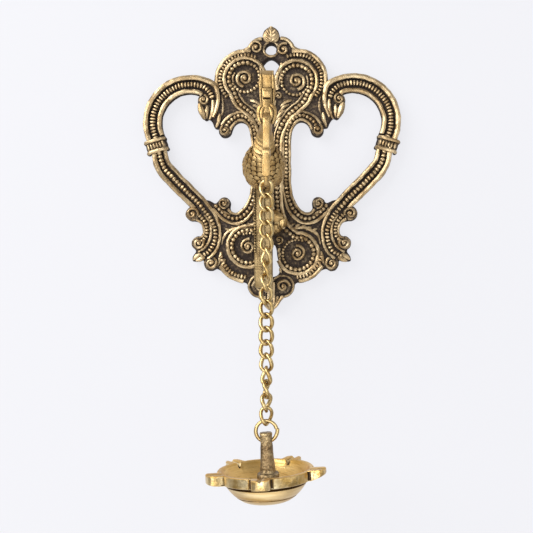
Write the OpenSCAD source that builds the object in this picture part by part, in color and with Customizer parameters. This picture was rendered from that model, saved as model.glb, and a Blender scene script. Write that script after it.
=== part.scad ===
// A hanging oil lamp on a wall bracket. A cast openwork plate hangs on a nail, a bird-shaped arm is
// screwed to it, a curb chain hangs from the eye under the bird's beak, and a jump ring at the chain's
// end carries a five-spout oil bowl by its centre post. Millimetres. The origin is the centre of the
// nail hole on the wall, +Z is up and -Y is out of the wall. Every piece is brass, but for the screw.

/* [Wall plate] */
// Thickness of the plate behind its relief
plate_t = 5.5; // [5:0.25:6.5]
// Radius of the ridges that draw the scrolls
ridge_r = 1; // [0.8:0.1:1.2]
// Diameter of the nail hole
nail_d = 5.5; // [4.5:0.25:5.75]
// Width of the band of the side loops
loop_w = 9; // [8:0.5:9.5]
// Width of the straight bars under the loops
bar_w = 7.5; // [7:0.25:8]

/* [Bird arm] */
// Distance from the wall to the chain
reach = 60; // [58:0.5:63]
// Diameter of the bird's body
body_d = 18.6; // [17:0.2:19.4]
// Width of the tail
tail_w = 8.6; // [8:0.2:9.4]
// Diameter of the screw that holds the arm
screw_d = 4; // [3.5:0.25:4.5]

/* [Chain] */
// Diameter of the links' wire
wire_d = 1.38; // [1.3:0.02:1.4]
// Outer width of a link
link_w = 6.08; // [6:0.02:6.2]
// Distance from one link to the next
pitch = 5.38; // [5.3:0.02:5.46]
// Gap between two links at rest
link_gap = 0.12; // [0.12:0.02:0.2]

/* [Lamp] */
// Outer diameter of the jump ring
ring_d = 9.9; // [9.7:0.1:10.2]
// Diameter of the jump ring's wire
ring_wire = 1.4; // [1.3:0.05:1.45]
// Radius of the bowl's rim between the spouts
rim_r = 19.6; // [19:0.1:20.4]
// Distance from the bowl's centre to a spout's tip
spout_r = 25; // [24:0.25:26]
// Width of a spout
spout_w = 7.5; // [7:0.25:8.5]
// Height of the rim
rim_h = 4; // [3.5:0.25:4.5]
// Distance from the bowl's centre to the post, which makes the lamp lean
post_offset = 1; // [0.8:0.05:1.2]

/* [Hidden] */
$fn = 48;

// Colours of the castings, the wire and the turned bowl
plate_brass = "#7d6433";
arm_brass = "#a98850";
wire_brass = "#c9a64b";
post_brass = "#7a6342";
bowl_brass = "#c79a45";
steel = "#8c8c8c";

// How far a cutting shape runs past what it cuts
cut = 1;

// The plate's main places on the wall, as X and Z, on the right half
lobe_c = [12.2, -14.8];
lobe_r = 14.5;
foot_c = [11.5, -95.4];
foot_r = 15.3;
screw_z = -82;
// The small volutes of the right half: X, Z and radius
volutes = [
    [6.2, 0.5, 3.3], [3.6, -22.6, 2.2], [32.1, -24.2, 2.9], [21.8, -38.3, 2.9], [22.4, -73, 2.9],
    [37.5, -78, 3.5], [34.6, -92, 3.3], [28.5, -101.2, 3], [3.7, -89.6, 2.3], [6.2, -112.4, 4.3]
];
// Height of the volutes over the wall, their rim and the dip round their middle
volute_h = plate_t + 2.2;
volute_rim = 0.7;
volute_dip = 0.9;
// The scrolls of the lobes and feet: outer radius, loss each half turn, start and middle
lobe_scroll_r = 8.6;
foot_scroll_r = 8.9;
scroll_step = 1.7;
scroll_halves = 3;
lobe_scroll_from = -100;
foot_scroll_from = -60;
scroll_button_r = 3.5;
// The raised borders of the lobes and feet: distance from the edge, start and length in degrees
border_in = 1.5;
lobe_border = [-25, 120];
foot_border = [-95, 70];
// The beaded strips of the centre column
strips_x = [3.6, 7.8];
strip_foot = -68;
strip_l = 30;

// The side loops: an arc, a collar over its lower end, and two straight bars
loop_c = [38.5, -34.5];
loop_mid = 18.1;
loop_from = -24;
loop_turn = 152;
loop_h = plate_t + 1.5;
groove_d = 1.2;
collar_c = [54.7, -45.6];
collar_lean = -16;
collar_l = 6.8;
collar_w = loop_w + 1.2;
collar_h = loop_h + 0.4;
collar_rib_r = 0.8;
collar_rib_at = 2.4;
short_bar = [[53.8, -46.5], [51.6, -56.2]];
long_bar = [[52.6, -54.4], [33, -74.4]];
short_bar_drop = 0.7;
long_bar_drop = 0.5;

// The plate's outline, right half from the finial down to the foot; the lobes and feet are discs over it
half_outline = [
    // leaf finial
    [0, 11], [1.2, 10.2], [3, 8.4], [4.3, 6.4], [3.4, 3.5], [8, -2],
    // shoulder between the upper lobe, the loop's root and the heart opening
    [24, -8], [27.5, -17], [31, -21], [34, -26], [31.5, -32], [26.5, -34], [23.8, -38.5],
    [20.4, -40], [18.6, -36.4], [16.6, -34.7], [14.3, -34.2], [11.8, -35.4], [10, -38.4],
    // centre column and lower shoulder
    [9.3, -43], [9.3, -66], [10, -70.5], [12.2, -75], [15.6, -77.6], [19, -76.6], [22, -74.6],
    [25.6, -74], [30.5, -71.5],
    // side fringe and pointed foot
    [36, -76.7], [37, -80], [33.4, -82.3], [31.9, -85.4], [32.3, -88.6], [35.4, -92.6],
    [36.8, -96.4], [35.6, -98.9], [32.4, -99.4], [30.4, -104.2], [26.8, -104], [20, -106],
    [10, -110], [5, -117.6], [2.6, -121.6], [0, -124.4]
];

// The teardrop over the arm and the slot behind the tail, right halves
teardrop = [[0.4, -4.4], [2.4, -5.6], [4.3, -8], [4.2, -10.6], [3.2, -15.4], [2.2, -19.6]];
tail_slot = [[0.4, -92.6], [2.4, -93.4], [3, -98], [4, -103], [4.2, -106], [2.2, -107.8]];

// The arm's screw
head_d = screw_d + 3.6;
head_h = 2.2;
head_sunk = 0.4;
head_play = 0.4;
slot_w = 1;
screw_end = plate_t + 7;
screw_play = 0.15;

// The bird, as distances out of the wall and heights; its body and tail stand left of the chain's plane
body_back = 33;
body_out = reach - body_back;
body_x = -2.4;
body_z = -58.5;
body_half = 11.5;
body_tilt = 46;
body_steps = 14;
neck_r = 4.8;
neck_top_r = 3.4;
neck_sunk = 4;
collar_sunk = 1.8;
neck_collar_h = 2.2;
wing_r = 6;
wing_t = 3.5;
wing_sunk = 3;
head_out = reach - 6;
head_z = -41;
head_r = 4.3;
beak_r = 3;
beak_tip_r = 2;
beak_l = 7;
beak_turn = 115;
crest_w = 4.4;
crest_top_w = 5.2;
boss_r = 6.2;
boss_top_r = 4.8;
boss_l = 9;
tail_x = -3.2;
tail_z = -64;
tail_end = -113;
// The tail's front and back edges, as distances from the plate and heights, from its root down
tail_front = [[14.5, -72], [13.1, -80], [11.9, -92], [10.5, -104], [8.5, tail_end]];
tail_back = [[7.1, -80], [7.3, -92], [6.5, -104], [5.5, tail_end]];
stem_r = 1.5;
eye_bar = 1.05;
eye_leg = 2.4;
eye_r = 2.75;
eye_w = 3.5;
eye_top = -57.5;
eye_cap = 2;
eye_front = -67;
eye_sunk = 0.3;

// The chain, from the eye's bar down
link_count = 18;
link_a = (link_w - wire_d) / 2;
link_h = (pitch + wire_d + link_gap) / 2;
link_twist = 40;
link_power = 2.3;
link_rings = 28;
link_sides = 8;
top_link_z = -71.75;
eye_z = top_link_z + link_h - wire_d / 2 - link_gap - eye_bar + eye_r;

// The whole chain winds once, faster where a link is seen from its edge
wind_start = 2.5;
wind_step = -20;
wind_swing = 20;
wind_cycle = 9;

// The ring and the lamp under it
ring_r = (ring_d - ring_wire) / 2;
ring_gap = 8;
ring_gap_at = 14;
ring_z = top_link_z - (link_count - 1) * pitch - link_h + (wire_d + ring_wire) / 2 + link_gap - ring_r;
post_half = 2.6;
hole_rise = ring_r - sqrt(ring_r * ring_r - post_half * post_half);
hole_play = 0.7;
hole_r = (ring_wire + hole_rise) / 2 + hole_play;
hole_z = ring_z - ring_r + hole_rise / 2;
post_top = 3.4;
post_edge = 0.4;
post_foot_r = 4.6;
rim_z = -11.2;
bowl_deep = 9.9;
bowl_tall = 12.5;
bowl_wall = 1.5;
mouth_r = rim_r - bowl_wall;
bowl_sphere = (mouth_r * mouth_r + bowl_deep * bowl_deep) / (2 * bowl_deep);
bowl_centre = rim_z - bowl_deep + bowl_sphere;
floor_rise = 1.1;
floor_r = 9;
floor_z = rim_z - bowl_deep + floor_rise;
base_z = rim_z - bowl_tall;
// The underside is a shallower ball than the hollow, cut flat where the bowl stands
base_r = 9.3;
belly_rise = 16.9;
belly_r = sqrt(base_r * base_r + belly_rise * belly_rise);
tenon_r = 2;
tenon_play = 0.05;
tenon_head = 1.2;
recess = 1.2;
recess_r = 6.5;
// The spouts' directions seen from above, set by eye and not quite evenly, from the front one round
spout_turns = [267, 344, 60, 131, 203];
spout_root = 14;
spout_round = 1.6;
wick_w = 3.4;
wick_d = 1.7;
wick_top = wick_w / 2 * (1 + cut / wick_d);
// The bowl weighs more to the left of the post, so the lamp leans until its weight is under the ring:
// the bowl's share of the weight, the depth of the weight's centre under the cross hole, and how far
// the uneven spouts pull that centre to the left
bowl_share = 0.862;
bowl_drop = 16.61;
spout_pull = 0.082;
lamp_lean = atan((post_offset * bowl_share + spout_pull) / bowl_drop);
// The bowl sits a little behind the post too, which tips its front up
post_ahead = 0.8;
lamp_tip = atan(post_ahead * bowl_share / bowl_drop);

function power(v, e) = sign(v) * pow(abs(v), e);
function two(n) = n < 10 ? str("0", n) : str(n);

// A right half drawn downwards, closed by its mirror image
function whole(half) = concat(half, [
    for (k = [len(half) - 1 : -1 : 0]) if (half[k][0] > 0) [-half[k][0], half[k][1]]
]);

// Turn of a link about the vertical, and of its wire at a height between -1 and 1
function wind(i) = (i - wind_start) * wind_step
    + wind_swing * sin(360 * (i - wind_start) / wind_cycle);
function wire_turn(i, h) = wind(i) - link_twist * h;

// A point of a link's wire centre, its direction, and the direction across the link's plane
function wire_at(i, t) =
    let (x = link_a * power(cos(t), 2 / link_power), h = power(sin(t), 2 / link_power))
    let (turn = wire_turn(i, h))
    [x * cos(turn), x * sin(turn), link_h * h];
function wire_along(i, t) =
    let (d = wire_at(i, t + 2) - wire_at(i, t - 2))
    d / norm(d);
function wire_side(i, t) =
    let (turn = wire_turn(i, power(sin(t), 2 / link_power)))
    let (n = cross([-sin(turn), cos(turn), 0], wire_along(i, t)))
    n / norm(n);

// Draws flat shapes, given as X and Z, on the wall, growing out of it
module on_wall(out = 0) {
    translate([0, -out, 0]) rotate([90, 0, 0]) children();
}

// Draws a side view, given as distance out of the wall and height, to a width across X
module side_view(width) {
    rotate([90, 0, -90]) translate([0, 0, -width / 2]) linear_extrude(width) children();
}

module both_sides() {
    children();
    mirror([1, 0, 0]) children();
}

// A flat spiral of half turns, each smaller than the one before
module scroll(radius) {
    for (k = [0 : scroll_halves - 1])
        translate([k % 2 == 0 ? 0 : -scroll_step, 0, 0])
            rotate([0, 0, 180 * k])
                rotate_extrude(angle = 180)
                    translate([radius - scroll_step * k, 0]) circle(r = ridge_r);
}

// A raised border inside a disc's edge, from its start and length in degrees
module border(disc_r, arc) {
    rotate([0, 0, arc[0]])
        rotate_extrude(angle = arc[1]) translate([disc_r - border_in, 0]) circle(r = ridge_r);
}

// A volute's button: a raised rim and a raised middle
module button(r, h) {
    rotate_extrude() polygon([
        [0, 0], [r, 0], [r, h - volute_dip], [r - volute_rim, h], [r * 0.66, h],
        [r * 0.58, h - volute_dip], [r * 0.46, h - volute_dip], [r * 0.36, h - 0.1],
        [r * 0.2, h + 0.2], [0, h + 0.2]
    ]);
}

// The section of the loops and bars: two rims and a strip between them, from its right half
function band(w, h) =
    let (half = [
        [w * 0.11, h - groove_d / 2], [w * 0.16, h - groove_d], [w * 0.22, h - groove_d],
        [w * 0.29, h], [w * 0.4, h], [w * 0.5, h - groove_d], [w * 0.5, 0]
    ])
    whole(half);

module bar(ends, h) {
    d = ends[1] - ends[0];
    translate(ends[0])
        rotate([0, 0, atan2(d[1], d[0])])
            rotate([90, 0, 90]) linear_extrude(norm(d)) polygon(band(bar_w, h));
}

module web() {
    linear_extrude(plate_t) polygon(whole(half_outline));
    both_sides() {
        translate(lobe_c) cylinder(r = lobe_r, h = plate_t);
        translate(foot_c) cylinder(r = foot_r, h = plate_t);
    }
}

module openings() {
    polygon(whole(teardrop));
    polygon(whole(tail_slot));
}

module half_relief() {
    for (v = volutes)
        translate([v[0], v[1], 0]) button(v[2], volute_h);
    translate(lobe_c) button(scroll_button_r, volute_h);
    translate(foot_c) button(scroll_button_r, volute_h);
    translate([0, 0, plate_t]) {
        translate(lobe_c) rotate(lobe_scroll_from) scroll(lobe_scroll_r);
        translate(foot_c) rotate(foot_scroll_from) mirror([0, 1, 0]) scroll(foot_scroll_r);
        translate(lobe_c) border(lobe_r, lobe_border);
        translate(foot_c) border(foot_r, foot_border);
        for (x = strips_x)
            translate([x, strip_foot, 0]) rotate([-90, 0, 0]) cylinder(r = ridge_r, h = strip_l);
    }
}

// One side loop from the upper lobe to its collar, and the bars down to the fringe
module side_loop() {
    translate(loop_c) rotate([0, 0, loop_from])
        rotate_extrude(angle = loop_turn) translate([loop_mid, 0]) polygon(band(loop_w, loop_h));
    translate(collar_c) rotate([0, 0, collar_lean]) {
        translate([-collar_w / 2, -collar_l / 2, 0]) cube([collar_w, collar_l, collar_h]);
        for (y = [-collar_rib_at, collar_rib_at])
            translate([-collar_w / 2, y, collar_h]) rotate([0, 90, 0])
                cylinder(r = collar_rib_r, h = collar_w);
    }
    bar(short_bar, loop_h - short_bar_drop);
    bar(long_bar, loop_h - long_bar_drop);
}

module wall_plate() {
    color(plate_brass) on_wall() difference() {
        union() {
            web();
            both_sides() {
                half_relief();
                side_loop();
            }
        }
        translate([0, 0, -cut]) {
            linear_extrude(volute_h + 2 * cut) openings();
            cylinder(d = nail_d, h = volute_h + 2 * cut);
            translate([0, screw_z]) cylinder(d = screw_d + 2 * screw_play, h = plate_t + 2 * cut);
            translate([0, screw_z]) cylinder(d = head_d + 2 * head_play, h = head_h + head_sunk + cut);
        }
    }
}

module arm_screw() {
    color(steel) on_wall() translate([0, screw_z, 0]) difference() {
        union() {
            translate([0, 0, head_sunk]) cylinder(d = head_d, h = head_h);
            translate([0, 0, head_sunk + head_h]) cylinder(d = screw_d, h = screw_end - head_sunk - head_h);
        }
        translate([-head_d, -slot_w / 2, head_sunk - cut]) cube([2 * head_d, slot_w, head_h / 2 + cut]);
    }
}

// The bird's body, an egg whose long axis leans forward
module bird_body() {
    translate([body_x, -body_out, body_z]) rotate([body_tilt, 0, 0]) {
        rotate_extrude() polygon([
            for (k = [0 : body_steps])
                let (a = -90 + 180 * k / body_steps)
                [body_d / 2 * cos(a), body_half * sin(a)]
        ]);
        translate([0, 0, body_half - collar_sunk])
            cylinder(r1 = neck_r + 0.2, r2 = neck_r + 0.8, h = neck_collar_h);
    }
    translate([body_x, -body_out + 1, body_z + 0.5]) both_sides()
        translate([body_d / 2 - wing_sunk, 0, 0]) rotate([0, 90, 0])
            cylinder(r1 = wing_r + 1, r2 = wing_r, h = wing_t);
}

module bird_head() {
    neck_foot = [body_x, -body_out - body_half * sin(body_tilt), body_z + body_half * cos(body_tilt)];
    neck = [0, -head_out, head_z] - neck_foot;
    translate(neck_foot) rotate([0, acos(neck[2] / norm(neck)), atan2(neck[1], neck[0])])
        translate([0, 0, -neck_sunk])
            cylinder(r1 = neck_r, r2 = neck_top_r, h = norm(neck) + neck_sunk);
    translate([0, -head_out, head_z]) {
        sphere(r = head_r);
        // beak, bent down to the stem of the eye
        rotate([beak_turn, 0, 0]) cylinder(r1 = beak_r, r2 = beak_tip_r, h = beak_l);
    }
    // crest in two steps
    side_view(crest_w) translate([head_out, head_z])
        polygon([[-6.6, 1], [-7.4, 9], [-6, 11.4], [1, 11.4], [2.6, 1]]);
    side_view(crest_top_w) translate([head_out, head_z])
        polygon([[-6.8, 11.2], [-8.4, 15], [-7, 18.4], [-1.4, 19], [1.4, 16.6], [0.4, 11.2]]);
}

// The stem under the beak and the eye that the chain hangs in, a long ring in the arm's own plane
module bird_eye() {
    eye_l = 2 * (eye_r + eye_bar);
    translate([0, -reach, eye_top]) cylinder(r = stem_r, h = head_z - eye_top - cut);
    translate([-eye_w / 2, -reach - eye_l / 2, eye_top - eye_cap / 2]) cube([eye_w, eye_l, 1.5 * eye_cap]);
    translate([-eye_w / 2, -reach - eye_l / 2, eye_front]) cube([eye_w, eye_cap, eye_top - eye_front]);
    for (s = [-1, 1])
        translate([-eye_leg / 2, -reach + s * eye_r - eye_leg / 2, eye_z - eye_sunk])
            cube([eye_leg, eye_leg, eye_top - eye_z]);
    translate([0, -reach, eye_z]) rotate([0, 90, 0]) rotate([0, 0, -90])
        rotate_extrude(angle = 180) translate([eye_r, 0]) circle(r = eye_bar);
}

// The tail, which hangs from the body in front of the plate and carries the root boss
module bird_tail() {
    translate([tail_x, 0, 0]) side_view(tail_w) polygon(concat(
        [[body_out - 14, tail_z], [body_out - 3, tail_z]],
        [for (p = tail_front) p + [plate_t, 0]],
        [for (k = [len(tail_back) - 1 : -1 : 0]) tail_back[k] + [plate_t, 0]]
    ));
    on_wall(plate_t) translate([0, screw_z]) cylinder(r1 = boss_r, r2 = boss_top_r, h = boss_l);
}

module bird_arm() {
    color(arm_brass) difference() {
        union() {
            bird_body();
            bird_head();
            bird_eye();
            bird_tail();
        }
        on_wall(plate_t - cut) translate([0, screw_z])
            cylinder(d = screw_d + screw_play, h = screw_end - plate_t + 2 * cut);
    }
}

// A curb link: a bent oval of wire, twisted so that its two ends lie across each other
module chain_link(i) {
    ring_points = [
        for (j = [0 : link_rings - 1], k = [0 : link_sides - 1])
            let (t = 360 * j / link_rings, a = 360 * k / link_sides)
            let (n = wire_side(i, t), b = cross(wire_along(i, t), n))
            wire_at(i, t) + wire_d / 2 * (cos(a) * n + sin(a) * b)
    ];
    faces = [
        for (j = [0 : link_rings - 1], k = [0 : link_sides - 1], half = [0, 1])
            let (j2 = (j + 1) % link_rings, k2 = (k + 1) % link_sides)
            let (p = j * link_sides + k, q = j * link_sides + k2)
            let (r = j2 * link_sides + k2, s = j2 * link_sides + k)
            half == 0 ? [p, q, r] : [p, r, s]
    ];
    color(wire_brass)
        translate([0, -reach, top_link_z - (i - 1) * pitch])
            polyhedron(ring_points, faces);
}

module lamp_ring() {
    color(wire_brass) translate([0, -reach, ring_z]) on_wall()
        rotate([0, 0, ring_gap_at + ring_gap / 2])
            rotate_extrude(angle = 360 - ring_gap) translate([ring_r, 0]) circle(d = ring_wire);
}

// Places the lamp, drawn about its cross hole, where it hangs
module hang_lamp() {
    translate([0, -reach, hole_z]) rotate([-lamp_tip, -lamp_lean, 0]) children();
}

module lamp_post() {
    color(post_brass) hang_lamp() difference() {
        rotate_extrude() polygon([
            [0, post_top], [post_half - post_edge, post_top], [post_half, post_top - post_edge],
            [post_half, -3.5], [post_half + 0.2, -8], [post_half + 0.6, rim_z - 1.2],
            [post_foot_r - 0.3, rim_z - 1.8], [post_foot_r, floor_z], [tenon_r, floor_z],
            [tenon_r, base_z + recess], [tenon_r + tenon_head, base_z + recess],
            [tenon_r + tenon_head - 0.4, base_z + recess / 3], [0, base_z + recess / 6]
        ]);
        translate([-post_half - cut, 0, 0]) rotate([0, 90, 0])
            cylinder(r = hole_r, h = 2 * (post_half + cut));
    }
}

module each_spout() {
    for (turn = spout_turns)
        rotate([0, 0, turn]) children();
}

module spout_tab() {
    half = [
        [spout_root, spout_w / 2 - 0.3], [spout_r - spout_round, spout_w / 2],
        [spout_r - spout_round / 4, spout_w / 2 - spout_round], [spout_r, 0]
    ];
    polygon(concat(half, [for (k = [2 : -1 : 0]) [half[k][0], -half[k][1]]]));
}

module lamp_bowl() {
    color(bowl_brass) hang_lamp() difference() {
        translate([-post_offset, post_ahead, 0]) difference() {
            union() {
                translate([0, 0, rim_z - rim_h]) cylinder(r = rim_r, h = rim_h);
                translate([0, 0, rim_z - rim_h]) linear_extrude(rim_h) each_spout() spout_tab();
                intersection() {
                    translate([0, 0, base_z + belly_rise]) sphere(r = belly_r);
                    translate([0, 0, base_z]) cylinder(r = rim_r, h = bowl_tall - rim_h / 2);
                }
            }
            // hollow, with a flat floor for the post's foot
            difference() {
                translate([0, 0, bowl_centre]) sphere(r = bowl_sphere);
                translate([0, 0, base_z]) cylinder(r = floor_r, h = floor_z - base_z);
            }
            each_spout() translate([mouth_r - 2 * cut, 0, rim_z]) rotate([90, 0, 90])
                linear_extrude(spout_r) polygon([[-wick_top, cut], [wick_top, cut], [0, -wick_d]]);
            translate([0, 0, base_z - cut]) cylinder(r = recess_r, h = recess + cut);
        }
        translate([0, 0, base_z - cut]) cylinder(r = tenon_r + tenon_play, h = bowl_tall);
    }
}

wall_plate();
bird_arm();
arm_screw();
for (i = [1 : link_count])
    chain_link(i);
lamp_ring();
lamp_post();
lamp_bowl();
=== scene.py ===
# %% [markdown]
# # A hanging oil lamp on a bird bracket
# A cast openwork plate hangs on a nail. A bird stands out from it, a curb chain hangs from the eye under
# the bird's beak, and a small bowl with five spouts hangs from the chain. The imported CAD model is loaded
# first. It stays as it is, and every piece made here sits on it and moves with one of its bodies.

# %% Load the frame
from math import atan, atan2, copysign, cos, degrees, exp, hypot, pi, radians, sin, sqrt, tau

import bmesh
import bpy
from mathutils import Matrix, Vector, noise


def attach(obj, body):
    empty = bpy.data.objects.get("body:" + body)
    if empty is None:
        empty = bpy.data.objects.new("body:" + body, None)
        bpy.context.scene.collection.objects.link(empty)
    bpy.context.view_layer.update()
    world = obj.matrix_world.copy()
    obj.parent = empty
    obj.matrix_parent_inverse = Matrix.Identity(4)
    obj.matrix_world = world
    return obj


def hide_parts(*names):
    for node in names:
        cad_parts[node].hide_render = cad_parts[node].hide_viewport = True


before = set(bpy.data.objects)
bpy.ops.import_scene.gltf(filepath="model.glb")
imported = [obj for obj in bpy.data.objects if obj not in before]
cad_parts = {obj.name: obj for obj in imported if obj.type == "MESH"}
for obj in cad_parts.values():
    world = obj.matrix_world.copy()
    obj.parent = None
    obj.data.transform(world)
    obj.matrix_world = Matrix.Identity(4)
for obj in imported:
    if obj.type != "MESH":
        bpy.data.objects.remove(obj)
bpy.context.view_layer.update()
scene = bpy.context.scene
MM = 0.001
noise.seed_set(7)  # the same unevenness on every run

# %% [markdown]
# ## Camera
# The photo was taken level, from a little to the right of the plate's middle. The plate's height in the
# picture gives the distance, and the chain's place in front of the plate gives the side step and the yaw.

# %% Camera
picture = 533
focal_px = 782
camera_data = bpy.data.cameras.new("camera")
camera_data.sensor_width = 36
camera_data.lens = camera_data.sensor_width * focal_px / picture
camera = bpy.data.objects.new("camera", camera_data)
side_step, distance, drop = 13, 375, 103
yaw = radians(2.35)
camera.location = Vector((side_step, -distance, -drop)) * MM
camera.rotation_euler = (radians(90), 0, yaw)
scene.collection.objects.link(camera)
scene.camera = camera
print("lens", round(camera_data.lens, 1), "mm")

# %% [markdown]
# ## Light and wall
# A large soft light stands to the left and a weaker one to the right, so that rounded metal gets a broad
# light edge and a dark one. One in front and one from below stand for the pale room. The wall is a pale sheet
# behind the plate. Seen from behind, it lets the eye through, so that the back of the plate can be looked at.

# %% Colours and nodes
def linear(code):
    """An sRGB hex colour as linear red, green, blue and alpha."""
    parts = [int(code[k:k + 2], 16) / 255 for k in (1, 3, 5)]
    return [c / 12.92 if c <= 0.04045 else ((c + 0.055) / 1.055) ** 2.4 for c in parts] + [1]


def put(tree, kind, inputs=None, **settings):
    """Adds one shader node, with its settings, and links or fills its inputs."""
    node = tree.nodes.new("ShaderNode" + kind)
    for name, value in settings.items():
        setattr(node, name, value)
    for socket, value in (inputs or {}).items():
        if isinstance(value, bpy.types.NodeSocket):
            tree.links.new(value, node.inputs[socket])
        else:
            node.inputs[socket].default_value = value
    return node


def new_material(name):
    """An empty material and its node tree."""
    material = bpy.data.materials.new(name)
    material.use_nodes = True
    material.node_tree.nodes.clear()
    return material, material.node_tree


# %% Wall, world and lamps
wall_paint, tree = new_material("matt_wall_paint")
rays = put(tree, "LightPath").outputs
seen = put(tree, "Math", {0: rays["Is Camera Ray"], 1: rays["Is Glossy Ray"]}, operation="MAXIMUM")
part_seen = put(tree, "Math", {0: seen.outputs[0], 1: 0.85}, operation="MULTIPLY")
paint = put(tree, "BsdfDiffuse", {"Color": linear("#cfcfd3")})
glow = put(tree, "Emission", {"Color": linear("#eeeef2"), "Strength": 1.02})
front = put(tree, "MixShader", {0: part_seen.outputs[0], 1: paint.outputs[0], 2: glow.outputs[0]})
clear = put(tree, "BsdfTransparent")
side = put(tree, "NewGeometry").outputs["Backfacing"]
both = put(tree, "MixShader", {0: side, 1: front.outputs[0], 2: clear.outputs[0]})
put(tree, "OutputMaterial", {"Surface": both.outputs[0]})

wall_half, wall_gap, wall_z = 1.2, 0.6 * MM, -0.1
sheet = bmesh.new()
bmesh.ops.create_grid(sheet, x_segments=1, y_segments=1, size=wall_half,
                      matrix=Matrix.Translation((0, wall_gap, wall_z)) @ Matrix.Rotation(pi / 2, 4, "X"))
sheet_mesh = bpy.data.meshes.new("wall")
sheet.to_mesh(sheet_mesh)
sheet.free()
sheet_mesh.materials.append(wall_paint)
wall = bpy.data.objects.new("wall", sheet_mesh)
scene.collection.objects.link(wall)

world = bpy.data.worlds.new("room")
scene.world = world
world.use_nodes = True
room_light = world.node_tree.nodes["Background"].inputs
room_light["Color"].default_value = linear("#e6e8f0")
room_light["Strength"].default_value = 0.4

# name, place and size in metres, watts
lamps = (("key", (-0.6, -0.6, 0.35), 0.7, 12),
         ("fill", (0.8, -0.7, 0.0), 0.8, 3),
         ("front", (-0.1, -1.1, -0.2), 0.7, 6.6),
         ("bounce", (-0.05, -0.3, -0.8), 1.0, 4.4))
middle_of_part = Vector((0, -0.03, -0.1))
for name, place, size, watts in lamps:
    data = bpy.data.lights.new(name, "AREA")
    data.size = size
    data.energy = watts
    lamp = bpy.data.objects.new(name, data)
    lamp.location = place
    lamp.rotation_euler = (middle_of_part - lamp.location).to_track_quat("-Z", "Y").to_euler()
    scene.collection.objects.link(lamp)
scene.view_settings.view_transform = "Standard"
print("wall, world and", len(lamps), "lamps")

# %% [markdown]
# ## Tools for modelling relief
# Cast ornament is mostly lines: ridges, rows of beads, ribs and curls that follow a path. One tool draws a
# smooth path through a few points, one pulls a ring of edges along a path, and one sets beads along it.
# Each line is made in a small mesh of its own and then copied in, which keeps the operators quick.

# %% Paths
OUT, ACROSS = Vector((0, -1, 0)), Vector((1, 0, 0))


def spread(points, gap):
    """Points along a path, about one every gap millimetres, with both ends kept."""
    lengths = [(b - a).length for a, b in zip(points, points[1:])]
    total = sum(lengths)
    count = max(2, round(total / gap))
    result, k, done = [], 0, 0.0
    for n in range(count + 1):
        want = total * n / count
        while k < len(lengths) - 1 and done + lengths[k] < want:
            done += lengths[k]
            k += 1
        result.append(points[k].lerp(points[k + 1], min(1.0, (want - done) / max(lengths[k], 1e-9))))
    return result


def curve(corners, gap=0.6, closed=False):
    """A smooth curve through all the corners, resampled to even steps."""
    corners = [Vector(c) for c in corners]
    n = len(corners)
    fine = []
    for k in range(n if closed else n - 1):
        b, c = corners[k], corners[(k + 1) % n]
        a = corners[k - 1] if closed or k > 0 else 2 * b - c
        d = corners[(k + 2) % n] if closed or k + 2 < n else 2 * c - b
        for s in range(8):
            t = s / 8
            fine.append((2 * b + (c - a) * t + (2 * a - 5 * b + 4 * c - d) * t * t
                         + (3 * b - a - 3 * c + d) * t ** 3) / 2)
    fine.append(fine[0].copy() if closed else corners[-1])
    return spread(fine, gap)


def arc(centre, r0, r1, a0, a1):
    """Points of an arc or spiral about a centre, angles in degrees from +X toward +Z."""
    n = max(6, int(abs(a1 - a0) / 12))
    result = []
    for k in range(n + 1):
        r, a = r0 + (r1 - r0) * k / n, radians(a0 + (a1 - a0) * k / n)
        result.append((centre[0] + r * cos(a), centre[1] + r * sin(a)))
    return result


def frames(path, up, closed=False):
    """At each point of a path, a matrix whose columns are across, up, along and the point, in metres."""
    result = []
    last = len(path) - 1
    for k, p in enumerate(path):
        before = path[k - 1] if k > 0 else path[last - 1] if closed else p
        after = path[k + 1] if k < last else path[1] if closed else p
        along = (after - before).normalized()
        across = along.cross(up).normalized()
        m = Matrix((across, across.cross(along), along)).transposed().to_4x4()
        m.translation = p * MM
        result.append(m)
    return result


# %% Ridges, beads and pieces
def verts_of(geom):
    """The points among what an operator gives back."""
    return [g for g in geom if isinstance(g, bmesh.types.BMVert)]


def at_mm(x, y, z):
    """A shift in millimetres."""
    return Matrix.Translation(Vector((x, y, z)) * MM)


def copy_into(bm, part):
    """Copies a finished small mesh into a larger one."""
    bmesh.ops.recalc_face_normals(part, faces=part.faces)
    mesh = bpy.data.meshes.new("part")
    part.to_mesh(mesh)
    part.free()
    bm.from_mesh(mesh)
    bpy.data.meshes.remove(mesh)


def ridge(bm, path, radius, sides=8, height=1.0, up=OUT, closed=False):
    """Pulls a ring of edges along a path. The radius is a number or a function of the share of the way."""
    part = bmesh.new()
    mats = []
    for k, m in enumerate(frames(path, up, closed)):
        r = radius(k / (len(path) - 1)) if callable(radius) else radius
        mats.append(m @ Matrix.Diagonal((r * MM, r * height * MM, MM, 1)))
    bmesh.ops.create_circle(part, segments=sides, radius=1, matrix=mats[0])
    ring = part.edges[:]
    if not closed:
        bmesh.ops.contextual_create(part, geom=ring)
    for before, after in zip(mats, mats[1:]):
        new = bmesh.ops.extrude_edge_only(part, edges=ring)["geom"]
        bmesh.ops.transform(part, matrix=after @ before.inverted(), verts=verts_of(new))
        ring = [g for g in new if isinstance(g, bmesh.types.BMEdge) and g.is_boundary]
    if closed:
        bmesh.ops.remove_doubles(part, verts=part.verts, dist=1e-7)
    else:
        bmesh.ops.contextual_create(part, geom=ring)
    copy_into(bm, part)


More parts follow.
